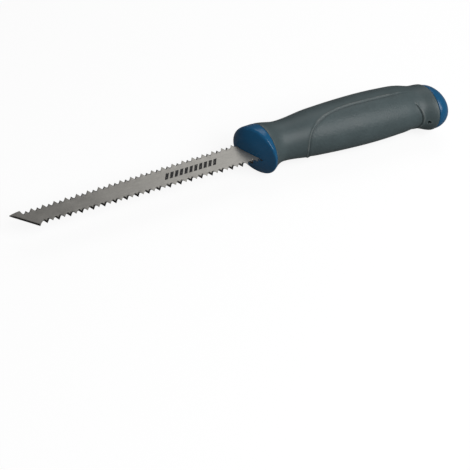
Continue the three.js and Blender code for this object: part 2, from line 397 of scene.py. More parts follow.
class BladeForm:
    """Outline of the blade: its far and near edges as widths over x, each worked out for a whole array."""

    def __init__(self, blade, handle):
        self.blade = blade
        self.face = blade.exposed
        self.corner = (blade.point_offset + self.tips(0) + blade.corner_reach) / (
            math.tan(blade.point_angle) - blade.taper
        )
        self.shoulder = blade.exposed + blade.shoulder_depth
        self.end = blade.exposed + blade.tang_length
        self.far_places = self.tooth_places(blade.first_far_tooth, 1, handle)
        self.near_places = self.tooth_places(blade.first_near_tooth, -1, handle)

    def gullets(self, x):
        """Half width to the bottoms of the gullets: the front half width plus the taper times x."""
        return self.blade.front_half_width + self.blade.taper * x

    def tips(self, x):
        return self.gullets(x) + self.blade.tooth_height

    def tooth_places(self, first, side, handle):
        """Tips one pitch apart, up to the slanted guard face on that side."""
        places = np.arange(first, self.face + handle.guard_depth, self.blade.pitch)
        n, depth = handle.face_squareness, handle.guard_depth - handle.guard_rim
        rise = depth * (1 - (1 - (self.tips(places) / handle.guard_half) ** n) ** (1 / n))
        face = self.face + (rise**3 + handle.guard_nose**3) ** (1 / 3)
        reach = face - handle.guard_slant * side * self.tips(places)
        return places[places < reach]

    def from_gullet(self, x, places):
        """Distance along x from the nearest gullet's middle: half a pitch at a tip, 0 in a gullet."""
        nearest = places[np.abs(x[:, None] - places[None, :]).argmin(1)]
        return np.clip(self.blade.pitch / 2 - np.abs(x - nearest), 0, None)

    def gullet_arc(self):
        """Slope of the flanks, place where a flank meets the gullet's arc, and depth of the V under that arc.

        The flanks form a V. A circle of the gullet radius r lies in it, r times the square root of
        1 + slope^2 above its bottom, and the arc's own bottom is the gullet line.
        """
        half, radius = self.blade.pitch / 2, self.blade.gullet_radius
        slope = self.blade.tooth_height / half
        for _ in range(6):
            lift = radius * (math.hypot(1, slope) - 1)
            slope = (self.blade.tooth_height + lift) / half
        return slope, radius * slope / math.hypot(1, slope), lift

    def tooth_rise(self, x, places):
        """Height above the gullet line: the slope times the distance from the gullet, with the arc near 0."""
        slope, meets, lift = self.gullet_arc()
        radius = self.blade.gullet_radius
        u = self.from_gullet(x, places)
        arc = radius - np.sqrt(np.clip(radius**2 - u**2, 0, None))
        return np.where(u > meets, slope * u - lift, arc)

    def far_edge(self, x):
        """Crowned spine from the point, a short run down to the first gullet, the teeth and the tang."""
        b = self.blade
        crest = self.tips(b.spine_length) + b.spine_rise
        t = np.clip(x / b.spine_length, 0, 1)
        spine = mix(b.point_offset, crest, t) + 4 * b.spine_bulge * t * (1 - t)
        first = b.first_far_tooth - b.pitch / 2
        ramp = mix(crest, self.gullets(first), smooth(b.spine_length, first, x) ** 1.2)
        teeth = self.gullets(x) + self.tooth_rise(x, self.far_places)
        edge = np.where(x < b.spine_length, spine, np.where(x < first, ramp, teeth))
        return np.where(x > self.shoulder, self.tang_half(x), edge)

    def near_edge(self, x):
        """Straight front edge from the point, a run up to the first gullet, then as the far edge."""
        b = self.blade
        low = -self.tips(self.corner) - b.corner_reach
        front = mix(b.point_offset, low, np.clip(x / self.corner, 0, 1))
        first = b.first_near_tooth - b.pitch / 2
        t = np.clip((x - self.corner) / (first - self.corner), 0, 1)
        heel = mix(low, -self.gullets(first), 1 - (1 - t) ** 1.6)
        teeth = -self.gullets(x) - self.tooth_rise(x, self.near_places)
        edge = np.where(x < self.corner, front, np.where(x < first, heel, teeth))
        return np.where(x > self.shoulder, -self.tang_half(x), edge)

    def tang_half(self, x):
        """Half width of the tang, with its corners cut at 45 degrees."""
        half = self.blade.tang_half_width
        return np.minimum(half, half / 2 + self.end - x)

    def columns(self):
        """Places along x where the outline has a point: on teeth, gullets, spine, front edge and tang."""
        b = self.blade
        _, meets, _ = self.gullet_arc()
        half = b.pitch / 2
        near_tip = np.array([0, 0.33, 0.66]) * (half - meets)
        in_gullet = half - np.array([1, 0.66, 0.33, 0]) * meets
        offsets = np.concatenate([near_tip, in_gullet])
        offsets = np.concatenate([-offsets, offsets])
        teeth = [(p[:, None] + offsets).ravel() for p in (self.far_places, self.near_places)]
        spine_end, first = b.spine_length, b.first_far_tooth
        front = joined((0, spine_end, 14), (spine_end, first - half, 8), (first, self.corner, 6))
        heel = np.linspace(self.corner, b.first_near_tooth - half, 9)
        shank = np.linspace(self.face - half, self.shoulder, 8)
        step = 0.02 * MM
        tang_corner = self.end - b.tang_half_width / 2
        tang = joined((self.shoulder + step, tang_corner, 12), (tang_corner, self.end, 4))
        return np.unique(np.round(np.concatenate([front, heel, *teeth, shank, tang]), 6))

    def turns(self, x, places, first_up):
        """1 on teeth that lean or are ground one way and -1 on those between, 0 off the toothed stretch."""
        index = np.abs(x[:, None] - places[None, :]).argmin(1)
        sign = np.where(index % 2 == 0, 1, -1) * first_up
        start, end = places[0] - self.blade.pitch / 2, places[-1] + self.blade.pitch / 2
        return np.where((x >= start) & (x <= end), sign, 0)


def blade_surface(form):
    """Rows across the blade at each column, and the height of its upper and lower side there.

    From each edge inwards come the edge, the inner line of the ground facet, and the line where teeth bend.
    Facets fall from the flat side to a thin land at the edge, on the upper side of one tooth and the lower
    side of the next. A tooth bends out of the plane in proportion to its height over the bend line, less so
    near its gullets.
    """
    b = form.blade
    x = form.columns()
    far, near = form.far_edge(x), form.near_edge(x)
    span = far - near
    middle = (far + near) / 2
    slope, meets, _ = form.gullet_arc()
    flank = b.facet_width * math.hypot(1, slope)
    front_width = b.facet_width / math.cos(b.point_angle)
    front_fade = np.minimum(1, span / (3 * front_width))
    fall = THICKNESS - b.edge_land
    sides = []
    for edge, places, turn, sign in (
        (far, form.far_places, form.turns(x, form.far_places, -1), 1),
        (near, form.near_places, form.turns(x, form.near_places, -1), -1),
    ):
        rise = np.where(turn != 0, form.tooth_rise(x, places), 0)
        fullness = np.clip(form.from_gullet(x, places) / meets, 0, 1) * (turn != 0)
        width = np.where(turn != 0, np.minimum(flank, rise + 0.8 * b.bend_margin), b.chamfer)
        upper = np.where(turn < 0, fullness * width / flank, 0)
        lower = np.where(turn > 0, fullness * width / flank, 0)
        if sign < 0:
            on_front = x <= form.corner
            width = np.where(on_front, front_width * front_fade, width)
            upper = np.where(on_front, np.minimum(1, 1.5 * front_fade), upper)
        else:
            on_spine = x < b.spine_length
            width = np.where(on_spine, 0.35 * b.facet_width * front_fade, width)
            upper = np.where(on_spine, 0.45 * front_fade, upper)
        plain = b.chamfer / 2 / fall
        upper, lower = np.maximum(upper, plain), np.maximum(lower, plain)
        inner = edge - sign * width
        bend = form.gullets(x) - b.bend_margin
        space = 0.1 * np.minimum(span, 1 * MM)
        bend = sign * np.maximum(np.minimum(bend, sign * inner - space), sign * middle + 0.05 * span)
        sides.append((edge, inner, bend, upper, lower, turn * fullness))
    far, far_in, far_bend, far_up, far_low, far_turn = sides[0]
    near, near_in, near_bend, near_up, near_low, near_turn = sides[1]
    inside = [mix(far_bend, near_bend, t) for t in (0.25, 0.5, 0.75)]
    rows = np.stack([far, far_in, far_bend, *inside, near_bend, near_in, near])
    ground_up, ground_low = np.zeros_like(rows), np.zeros_like(rows)
    ground_up[0], ground_up[-1] = far_up, near_up
    ground_low[0], ground_low[-1] = far_low, near_low
    over = np.abs(rows) - (form.gullets(x) - b.bend_margin)
    lean = np.clip(over / (b.tooth_height + b.bend_margin), 0, 1) * b.tooth_set
    lean = lean * np.where(rows > 0, far_turn, near_turn)
    upper = THICKNESS / 2 - ground_up * fall + lean
    lower = -THICKNESS / 2 + ground_low * fall + lean
    return x, rows, upper, lower, ground_up, ground_low


def make_blade(settings):
    """The blade's loop at each column runs over its upper side from far to near and back under it."""
    form = BladeForm(settings.blade, settings.handle)
    x, rows, upper, lower, ground_up, ground_low = blade_surface(form)
    across = np.concatenate([rows, rows[::-1]])
    height = np.concatenate([upper, lower[::-1]])
    ground = np.concatenate([ground_up, ground_low[::-1]])
    along = np.broadcast_to(x, across.shape)
    points = np.stack([along, across, height], -1).transpose(1, 0, 2)
    around = len(across)
    top = (len(x) - 1) * around + np.arange(len(rows))
    bottom = len(x) * around - 1 - np.arange(len(rows))
    lid = np.stack([top[:-1], top[1:], bottom[1:], bottom[:-1]], -1)
    piece = new_piece("saw_blade", points, grid_faces(len(x), around) + lid.tolist(), {GROUND: ground.T})
    cut_key_holes(piece, form.blade, form.blade.tang_hole_radius)
    return piece


def cut_key_holes(piece, blade, radius):
    """Takes a round rod out of the piece at the place of each key hole in the tang."""
    middle = blade.exposed + (blade.shoulder_depth + blade.tang_length) / 2
    reach = 2 * THICKNESS
    for side in (-1, 1):
        place = middle + side * blade.tang_hole_spacing / 2
        cut(piece, rod("key_hole", (place, 0, -reach), (place, 0, reach), radius))


# ---- Handle ----


class HandleForm:
    """Outer form of the handle: an oval section whose size, middle and lean change along x."""

    def __init__(self, blade, handle):
        h = self.sizes = handle
        self.blade = blade
        self.face = blade.exposed
        self.ring = self.face + h.guard_depth
        self.rim = self.ring - h.guard_rim
        self.neck = self.ring + h.neck_run
        self.palm_front = self.neck + h.palm_front_run
        self.belly = self.palm_front + h.belly_run
        self.palm_rear = self.belly + h.palm_rear_run
        self.waist = self.palm_rear + h.waist_run
        self.cap = self.waist + h.butt_run
        self.end = self.cap + h.cap_depth
        self.core_end = self.cap - h.sleeve_edge
        self.tang_end = self.face + blade.tang_length
        self.shoulder = self.face + blade.shoulder_depth
        self.bore = self.tang_end + h.bore_wall
        self.stations = [
            [self.rim, h.guard_half],
            [self.ring, h.ring_half],
            [self.neck, h.neck_half],
            [self.palm_front, h.palm_front_half],
            [self.belly, h.belly_half],
            [self.palm_rear, h.palm_rear_half],
            [self.waist, h.waist_half],
            [self.core_end, h.butt_half],
            [self.end, h.waist_half],
        ]

    def half_height(self, x):
        """Half height of the section: a smooth curve through the stations."""
        return through(self.stations, x)

    def bore_radius(self, x):
        """Radius of the bore, growing in a straight line from its front end to the butt."""
        return mix(self.sizes.bore_front, self.sizes.bore_rear, (x - self.bore) / (self.core_end - self.bore))

    def width_ratio(self, x):
        return mix(self.sizes.guard_ratio, self.sizes.butt_ratio, smooth(self.ring, self.cap, x))

    def middle(self, x):
        """Sideways place of the section: level at the guard, a sloping line, then the butt's hook."""
        h = self.sizes
        line = h.droop * (self.neck + h.droop_pivot - x)
        level = mix(h.guard_offset, line, smooth(self.face + h.guard_depth / 2, self.neck, x))
        start = self.waist - h.hook_lead
        lean = h.dome_lean * np.maximum(0, (x - self.cap) / (self.end - self.cap)) ** 2
        return level - h.hook * smooth(start, start + h.hook_length, x) - lean

    def slant(self, x):
        """Forward lead of the far side per unit sideways, fading out at the neck."""
        return self.sizes.guard_slant * (1 - smooth(self.face, self.neck, x)) ** self.sizes.slant_fade

    def surface(self, x, half, turn):
        """Points at angle turn round the section, 0 on the far side and a quarter turn on top.

        Sideways is half times the cosine times the width ratio, plus the middle. Height is half times the
        sine. Along the handle is x less the slant times the sideways place.
        """
        sideways = half * np.cos(turn) * self.width_ratio(x) + self.middle(x)
        return np.stack([x - self.slant(x) * sideways, sideways, half * np.sin(turn)], -1)


def turns_round(count):
    """Angles round the handle, all but the last one that would repeat the first."""
    return np.linspace(0, 2 * math.pi, count, endpoint=False)[None, :]


def revolved(form, name, profile, count, attributes, relief=0, closed=False):
    """Carries a profile of (x, half height) round the handle; relief is added to the half height."""
    x, half, turn = np.broadcast_arrays(profile[:, 0:1], profile[:, 1:2] + relief, turns_round(count))
    points = form.surface(x, half, turn)
    return new_piece(name, points, grid_faces(len(profile), count, wrap_rows=closed), attributes)


def quarter(start, end, count, flip=False):
    """Quarter of an ellipse from start to end; it leaves start along x, or along the half height if flip."""
    a = np.linspace(0, math.pi / 2, count)
    (x0, h0), (x1, h1) = start, end
    if flip:
        return np.column_stack([mix(x0, x1, 1 - np.cos(a)), mix(h0, h1, np.sin(a))])
    return np.column_stack([mix(x0, x1, np.sin(a)), mix(h0, h1, 1 - np.cos(a))])


def pin_hole(form, name):
    """Rod that cuts the small hole in the near side of the butt."""
    h = form.sizes
    x = form.waist + h.pin_hole_run
    mouth = float(form.middle(x) - form.half_height(x) * form.width_ratio(x))
    return rod(name, (x, mouth - h.pin_hole_depth, 0), (x, mouth + h.pin_hole_depth, 0), h.pin_hole_radius)


def guard_profile(form):
    """Guard's face and the rounding into its rim.

    Depth behind the cone's point and half height follow powers 2/squareness of the cosine and sine of an
    angle. The face then lies at the cube root of depth^3 + nose^3, which leaves a flat middle for the blade.
    The rounding is a parabola that leaves the face and meets the rim one edge length from their corner.
    """
    h = form.sizes
    power = 2 / h.face_squareness
    a = np.linspace(0, math.pi / 2, 400)
    depth = (form.rim - form.face) * (1 - np.clip(np.cos(a), 0, 1) ** power)
    x = form.face + (depth**3 + h.guard_nose**3) ** (1 / 3)
    half = h.guard_half * np.sin(a) ** power
    kept = np.flatnonzero(np.hypot(form.rim - x, h.guard_half - half) > h.rim_edge)[::6]
    start, corner = np.array([x[kept[-1]], half[kept[-1]]]), np.array([form.rim, h.guard_half])
    end = np.array([form.rim + h.rim_edge, form.half_height(form.rim + h.rim_edge)])
    t = np.linspace(0, 1, 14)[1:, None]
    edge = start * (1 - t) ** 2 + 2 * corner * t * (1 - t) + end * t**2
    return np.concatenate([np.column_stack([x[kept], half[kept]]), edge])


def make_core(settings):
    """Guard, core and bore in one: face, rim, a step down under the sleeve, skin, and back along the bore."""
    form = HandleForm(settings.blade, settings.handle)
    h = form.sizes
    count, rounding, rubbed, wall = 200, 0.5 * MM, 0.8 * MM, h.sleeve_thickness + h.seam
    ring_half = form.half_height(form.ring)
    rim = np.linspace(form.rim + h.rim_edge, form.ring - rounding, 8)[1:-1]
    skin = np.linspace(form.ring, form.core_end, 90)
    bore = np.linspace(form.core_end, form.bore, 24)
    profile = np.concatenate([
        guard_profile(form),
        np.column_stack([rim, form.half_height(rim)]),
        quarter((form.ring - rounding, ring_half), (form.ring, ring_half - rounding), 7),
        [[form.ring, ring_half - wall + 0.3 * MM]],
        np.column_stack([skin, form.half_height(skin) - wall]),
        np.column_stack([bore, form.bore_radius(bore)]),
        [[form.bore, 0]],
    ])
    edge = bump(profile[:, 0:1] - form.ring, rubbed) * np.ones((1, count))
    piece = revolved(form, "guard_core", profile, count, {RELIEF: edge})
    cut(piece, tang_pocket(form))
    cut(piece, pin_hole(form, "core_pin"))
    return piece


def tang_pocket(form):
    """Solid that the blade's root and tang fill in the core, less a post in each key hole."""
    h, b = form.sizes, form.blade
    seam = 2 * h.seam
    mouth = form.face - h.guard_depth
    narrow = b.tang_half_width + seam
    end = form.tang_end + seam
    corner = b.tang_half_width / 2
    half_outline = [
        (mouth, b.front_half_width + b.taper * mouth + seam),
        (form.shoulder + seam, b.front_half_width + b.taper * form.shoulder + seam),
        (form.shoulder + seam, narrow),
        (end - corner, narrow),
        (end, narrow - corner),
    ]
    outline = half_outline + [(x, -y) for x, y in reversed(half_outline)]
    pocket = slab("tang_pocket", outline, THICKNESS + 2 * seam)
    cut_key_holes(pocket, b, b.tang_hole_radius - seam)
    return pocket


class SleeveRelief:
    """Raised and sunken detail of the sleeve over its plain form, at any x and angle round it."""

    def __init__(self, form):
        self.form = form
        h = form.sizes
        self.panel_start = form.neck + h.panel_front
        self.panel_full = self.panel_start + h.panel_nose

    def inside_panel(self, x, off_near):
        """Distance inside the panel's border.

        The border is where a^p + b^p = 1, with a the distance ahead of the full width over the nose length,
        b the angle off the near side over the panel's reach, and p 2.5. The distance is 1 minus the p-norm of
        a and b, over that norm's slope.
        """
        h, p = self.form.sizes, 2.5
        a = np.clip((self.panel_full - x) / h.panel_nose, 1e-6, None)
        b = np.clip(np.abs(off_near) / h.panel_reach, 1e-6, None)
        norm = (a**p + b**p) ** (1 / p)
        round_size = h.belly_half * h.panel_reach
        slope = np.hypot((a / norm) ** (p - 1) / h.panel_nose, (b / norm) ** (p - 1) / round_size)
        return (1 - norm) / slope

    def at(self, x, turn):
        """Height over the plain form, how far a point is a ridge or a groove, and the panel's mask."""
        h = self.form.sizes
        off_near = np.abs(np.angle(np.exp(1j * (turn - math.pi))))
        inside = self.inside_panel(x, off_near)
        behind = x - self.panel_full
        bead_fade = 1 - smooth(h.bead_fade, 50 * MM, behind)
        sunk = smooth(h.recess_start, h.recess_end, inside) * (1 - smooth(h.panel_fade, 52 * MM, behind))
        bead = bump(inside - h.bead_inset, h.bead_width) * bead_fade
        moat = bump(inside - h.moat_inset, h.moat_width) * bead_fade
        past_crease = x - self.form.waist + h.crease_lead + h.crease_bow * (off_near / h.crease_angle) ** 2
        crease_fade = 1 - smooth(math.radians(46), math.radians(60), off_near)
        crease = bump(past_crease, h.crease_width) * crease_fade
        lip = bump(past_crease - h.lip_inset, h.lip_width) * crease_fade
        hole_arc = off_near * self.form.half_height(x)
        hole = np.hypot(x - self.form.waist - h.pin_hole_run, hole_arc) - h.pin_hole_radius
        rim = bump(hole - 0.5 * MM, 0.4 * MM)
        height = h.bead * (bead - 0.5 * moat) - h.panel_recess * sunk
        height += h.crease_depth * (0.45 * lip - crease) + h.hole_rim * rim
        ridge = bead + 0.8 * lip + 0.8 * rim - 0.8 * moat - 1.2 * crease
        return height, np.clip(ridge, -1, 1), sunk


def make_sleeve(settings):
    """Rubber sleeve: its outer side from the front with the relief, a rolled rear edge, and its inside."""
    form = HandleForm(settings.blade, settings.handle)
    h = form.sizes
    front = form.ring + h.seam
    lip = 0.5 * MM
    count = 280
    nose_start, nose_end, butt_start = front + 22 * MM, front + 36 * MM, form.waist + 6 * MM
    outer_x = joined(
        (front + lip, nose_start, 30),
        (nose_start, nose_end, 46),
        (nose_end, form.palm_rear, 112),
        (form.palm_rear, butt_start, 66),
        (butt_start, form.core_end, 6),
    )
    inner_x = np.linspace(form.cap, front, 40)
    lip_half, rear_half = form.half_height(front + lip), form.half_height(form.cap)
    edge = h.sleeve_edge
    profile = np.concatenate([
        quarter((front, form.half_height(front) - lip), (front + lip, lip_half), 5, True)[:-1],
        np.column_stack([outer_x, form.half_height(outer_x)]),
        quarter((form.core_end, form.half_height(form.core_end)), (form.cap, rear_half - edge), 9)[1:],
        np.column_stack([inner_x, form.half_height(inner_x) - h.sleeve_thickness]),
    ])
    x = profile[:, 0:1] * np.ones((1, count))
    height, ridge, panel = SleeveRelief(form).at(x, turns_round(count) * np.ones_like(x))
    outside = np.arange(len(profile))[:, None] < 4 + len(outer_x)
    edges = bump(x - form.core_end - 0.5 * edge, 0.6 * edge) + bump(x - front - lip, lip)
    ridge = np.where(outside, np.clip(ridge + edges, -1, 1), 0)
    piece = revolved(
        form, "grip_sleeve_skin", profile, count,
        {RELIEF: ridge, PANEL: np.where(outside, panel, 0)},
        relief=np.where(outside, height, 0), closed=True,
    )
    cut(piece, pin_hole(form, "sleeve_pin"))
    return piece


def make_cap(settings):
    """Butt cap: plug with a flat end, its side, a small rounded rim, and a dome that is a quarter ellipse."""
    form = HandleForm(settings.blade, settings.handle)
    h = form.sizes
    flange = form.cap + h.seam
    count, rounding, rubbed = 200, 0.5 * MM, 0.9 * MM
    dome_half = form.half_height(form.cap) - h.sleeve_edge / 2
    plug = form.core_end - h.plug_length
    side = np.linspace(plug, flange, 16)
    profile = np.concatenate([
        [[plug, 0]],
        np.column_stack([side, form.bore_radius(side) - 2 * h.seam]),
        quarter((flange, dome_half - rounding), (flange + rounding, dome_half), 6, True)[:-1],
        quarter((flange + rounding, dome_half), (form.end, 0), 64),
    ])
    edge = bump(profile[:, 0:1] - flange, rubbed) * np.ones((1, count))
    return revolved(form, "butt_dome", profile, count, {RELIEF: edge})


# ---- Materials ----


FLOAT, COLOUR = "NodeSocketFloat", "NodeSocketColor"
WHITE = (1, 1, 1, 1)


class Nodes:
    """Short way to add nodes to one node tree and to join them."""

    def __init__(self, tree):
        self.tree = tree
        tree.nodes.clear()

    def add(self, kind, inputs=None, **options):
        """A node with its options set; each input takes a value or another node's output."""
        node = self.tree.nodes.new(kind)
        for key, value in options.items():
            setattr(node, key, value)
        for key, value in (inputs or {}).items():
            if isinstance(value, bpy.types.NodeSocket):
                self.tree.links.new(value, node.inputs[key])
            else:
                node.inputs[key].default_value = value
        return node

    def math(self, operation, *values, clamp=False):
        inputs = dict(enumerate(values))
        return self.add("ShaderNodeMath", inputs, operation=operation, use_clamp=clamp).outputs[0]

    def plus(self, a, b, clamp=False):
        return self.math("ADD", a, b, clamp=clamp)

    def times(self, a, b, clamp=False):
        return self.math("MULTIPLY", a, b, clamp=clamp)

    def within(self, value, limit):
        """1 where the value is nearer to 0 than the limit."""
        return self.math("LESS_THAN", self.math("ABSOLUTE", value), limit)

    def range(self, value, low, high, to_low=0.0, to_high=1.0):
        """Value carried from low..high to to_low..to_high, held at the ends."""
        inputs = {"Value": value, "From Min": low, "From Max": high, "To Min": to_low, "To Max": to_high}
        return self.add("ShaderNodeMapRange", inputs).outputs[0]

    def mix(self, factor, a, b):
        """Colour a where the factor is 0, and b where it is 1."""
        return self.add("ShaderNodeMix", {0: factor, 6: a, 7: b}, data_type="RGBA").outputs[2]

    def scaled(self, colour, gain):
        return self.add("ShaderNodeVectorMath", {0: colour, "Scale": gain}, operation="SCALE").outputs[0]

    def place(self, scale=(1, 1, 1)):
        """Object coordinates, stretched by a scale."""
        spot = self.add("ShaderNodeTexCoord").outputs["Object"]
        return self.add("ShaderNodeMapping", {"Vector": spot, "Scale": scale}).outputs[0]

    def noise(self, scale, detail, roughness=0.55, stretch=(1, 1, 1)):
        inputs = {"Vector": self.place(stretch), "Scale": scale, "Detail": detail, "Roughness": roughness}
        return self.add("ShaderNodeTexNoise", inputs).outputs[0]

    def bump(self, height, strength, distance):
        inputs = {"Height": height, "Strength": strength, "Distance": distance}
        return self.add("ShaderNodeBump", inputs).outputs[0]

    def attribute(self, name):
        return self.add("ShaderNodeAttribute", attribute_name=name).outputs["Fac"]

    def group(self, make, inputs):
        """Outputs of a node group, which is made the first time it is asked for."""
        tree = bpy.data.node_groups.get(make.__name__) or make()
        return self.add("ShaderNodeGroup", inputs, node_tree=tree).outputs

    def surface(self, inputs):
        """Principled shader that covers the material."""
        shader = self.add("ShaderNodeBsdfPrincipled", inputs)
        self.add("ShaderNodeOutputMaterial", {"Surface": shader.outputs[0]})


def new_group(make, inputs, outputs):
    """Empty node group with named sockets: (name, kind, default) going in and (name, kind) coming out."""
    tree = bpy.data.node_groups.new(make.__name__, "ShaderNodeTree")
    nodes = Nodes(tree)
    for key, kind, default in inputs:
        tree.interface.new_socket(key, in_out="INPUT", socket_type=kind).default_value = default
    for key, kind in outputs:
        tree.interface.new_socket(key, in_out="OUTPUT", socket_type=kind)
    return nodes, nodes.add("NodeGroupInput").outputs


def mottle():
    """Uneven tint: two sizes of soft cloud brighten or darken a colour by an amount."""
    sockets = [("Colour", COLOUR, WHITE), ("Amount", FLOAT, 0.1), ("Size", FLOAT, 80.0)]
    nodes, given = new_group(mottle, sockets, [("Colour", COLOUR), ("Cloud", FLOAT)])
    large = nodes.noise(given["Size"], 4)
    small = nodes.noise(nodes.times(given["Size"], 7.0), 3)
    cloud = nodes.plus(nodes.times(large, 0.65), nodes.times(small, 0.35))
    swing = nodes.times(nodes.math("SUBTRACT", cloud, 0.5), 4.0)
    gain = nodes.plus(nodes.times(swing, given["Amount"]), 1.0)
    nodes.add("NodeGroupOutput", {"Colour": nodes.scaled(given["Colour"], gain), "Cloud": cloud})
    return nodes.tree


def grain():
    """Moulded or stippled skin: rounded cells of one size over fine noise, as a height from 0 to 1."""
    sockets = [("Cells", FLOAT, 900.0), ("Cell Height", FLOAT, 1.0), ("Noise Height", FLOAT, 0.3)]
    nodes, given = new_group(grain, sockets, [("Height", FLOAT)])
    inputs = {"Vector": nodes.place(), "Scale": given["Cells"]}
    cells = nodes.add("ShaderNodeTexVoronoi", inputs, feature="SMOOTH_F1")
    domes = nodes.math("SUBTRACT", 1.0, cells.outputs["Distance"])
    fine = nodes.noise(nodes.times(given["Cells"], 2.3), 2)
    height = nodes.plus(nodes.times(domes, given["Cell Height"]), nodes.times(fine, given["Noise Height"]))
    nodes.add("NodeGroupOutput", {"Height": height})
    return nodes.tree


def wear_and_groove_shade():
    """Handling wear and painted shade: ridges rub paler, grooves are painted darker as shade, and sparse
    scuffs lie anywhere.
    """
    sockets = [
        ("Colour", COLOUR, WHITE),
        ("Dust", COLOUR, WHITE),
        ("Relief", FLOAT, 0.0),
        ("Rub", FLOAT, 0.3),
        ("Scuffs", FLOAT, 0.2),
    ]
    nodes, given = new_group(wear_and_groove_shade, sockets, [("Colour", COLOUR), ("Mask", FLOAT)])
    patchy = nodes.range(nodes.noise(160.0, 4), 0.35, 0.62)
    ridge = nodes.math("MAXIMUM", given["Relief"], 0.0)
    rubbed = nodes.times(nodes.times(ridge, patchy), given["Rub"])
    streaks = nodes.range(nodes.noise(700.0, 3, 0.6, (0.25, 1.6, 1.0)), 0.6, 0.72)
    where = nodes.range(nodes.noise(45.0, 2), 0.5, 0.68)
    mask = nodes.plus(rubbed, nodes.times(nodes.times(streaks, where), given["Scuffs"]), clamp=True)
    # Painted shade: where the relief is below 0, in a groove, the colour darkens to 0.6 of itself.
    groove = nodes.range(nodes.times(given["Relief"], -1.0), 0.0, 1.0, 1.0, 0.6)
    groove_shaded = nodes.scaled(given["Colour"], groove)
    nodes.add("NodeGroupOutput", {"Colour": nodes.mix(mask, groove_shaded, given["Dust"]), "Mask": mask})
    return nodes.tree


def new_material(name):
    material = bpy.data.materials.new(name)
    material.use_nodes = True
    return material, Nodes(material.node_tree)


def opaque(value):
    return (*value, 1.0)


def rubber_material(finish):
    """Matt grey rubber: a fine moulded skin everywhere, coarse stipple on the palm panel, rubbed ridges, and
    painted shade in its grooves.
    """
    material, nodes = new_material("grey_rubber")
    tint = nodes.group(mottle, {"Colour": opaque(finish.rubber), "Amount": 0.16, "Size": 70.0})
    inputs = {"Dust": opaque(finish.dust), "Relief": nodes.attribute(RELIEF), "Rub": 0.34, "Scuffs": 0.07}
    # The sleeve's crease, moat and other grooves are painted darker here as shade.
    worn = nodes.group(wear_and_groove_shade, {"Colour": tint["Colour"], **inputs})
    fine = nodes.group(grain, {"Cells": 2600.0, "Cell Height": 0.5, "Noise Height": 0.5})
    stipple = nodes.group(grain, {"Cells": 800.0, "Cell Height": 1.0, "Noise Height": 0.3})
    on_panel = nodes.times(stipple["Height"], nodes.attribute(PANEL))
    skin = nodes.bump(nodes.plus(nodes.times(fine["Height"], 0.12), on_panel), 0.8, 0.2 * MM)
    rough = nodes.range(tint["Cloud"], 0.3, 0.7, 0.42, 0.54)
    nodes.surface({"Base Color": worn["Colour"], "Roughness": rough, "Normal": skin, "IOR": 1.5})
    return material


def plastic_material(finish):
    """Semi-gloss blue plastic: faint moulded skin, cloudy gloss, paler rubbed edges and light scuffs."""
    made = bpy.data.materials.get("blue_plastic")
    if made:
        return made
    material, nodes = new_material("blue_plastic")
    tint = nodes.group(mottle, {"Colour": opaque(finish.plastic), "Amount": 0.14, "Size": 90.0})
    inputs = {"Dust": opaque(finish.dust), "Relief": nodes.attribute(RELIEF), "Rub": 0.16, "Scuffs": 0.10}
    worn = nodes.group(wear_and_groove_shade, {"Colour": tint["Colour"], **inputs})
    moulded = nodes.group(grain, {"Cells": 2200.0, "Cell Height": 0.5, "Noise Height": 0.6})
    skin = nodes.bump(moulded["Height"], 0.35, 0.03 * MM)
    gloss = nodes.range(tint["Cloud"], 0.3, 0.7, 0.26, 0.38)
    rough = nodes.plus(gloss, nodes.times(worn["Mask"], 0.4))
    nodes.surface({"Base Color": worn["Colour"], "Roughness": rough, "Normal": skin, "IOR": 1.5})
    return material


def printed_bars(nodes):
    """Mask of a row of slanted bars on the upper side of the blade, with small worn gaps in the ink."""
    bars, bar_pitch, bar_height, slope = 11, 3.4 * MM, 5.2 * MM, 0.5
    half_bar, ink_cover = 0.33, 0.66
    centre = 118 * MM + ORIGIN[0]
    spot = nodes.add("ShaderNodeSeparateXYZ", {0: nodes.add("ShaderNodeTexCoord").outputs["Object"]})
    along = nodes.math("SUBTRACT", spot.outputs[0], centre)
    across = nodes.math("SUBTRACT", spot.outputs[1], ORIGIN[1])
    slanted = nodes.math("SUBTRACT", along, nodes.times(across, slope))
    phase = nodes.math("FRACT", nodes.plus(nodes.math("DIVIDE", slanted, bar_pitch), 50.5))
    limits = (
        nodes.within(slanted, bars * bar_pitch / 2),
        nodes.within(across, bar_height / 2),
        nodes.math("GREATER_THAN", spot.outputs[2], ORIGIN[2]),
        nodes.math("LESS_THAN", nodes.noise(1900.0, 3), ink_cover),
    )
    mask = nodes.within(nodes.math("SUBTRACT", phase, 0.5), half_bar)
    for limit in limits:
        mask = nodes.times(mask, limit)
    return mask


